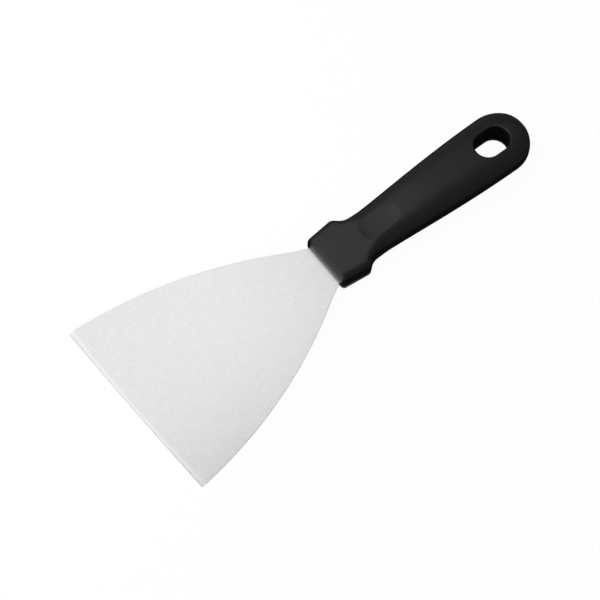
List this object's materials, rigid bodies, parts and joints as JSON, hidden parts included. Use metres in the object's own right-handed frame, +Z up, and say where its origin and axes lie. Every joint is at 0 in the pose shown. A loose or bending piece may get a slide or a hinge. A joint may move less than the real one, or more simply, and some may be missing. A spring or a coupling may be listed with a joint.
{
  "type": "triangular spatula",
  "caption": "Hand spatula: a thin triangular steel blade with a ground cutting edge, its tang moulded into a flat black plastic handle with a bolster, thumb hollows and a hang slot.",
  "frame": {"origin": "on the table under the middle of the tool's box, with the tool lying at rest on its cutting edge and the front of its bolster", "axes": "+X from the cutting edge to the hang slot along the blade's centre line, +Y across the blade, +Z up from the table"},
  "size_m": [0.2636, 0.1098, 0.0216],
  "materials": {
    "blade_steel": "satin stainless steel, brushed along the blade, with a ground bevel at the cutting edge",
    "handle_plastic": "black moulded polypropylene with a fine matte texture"
  },
  "bodies": {
    "root": {"blade": "blade_steel", "handle": "handle_plastic"}
  },
  "joints": []
}
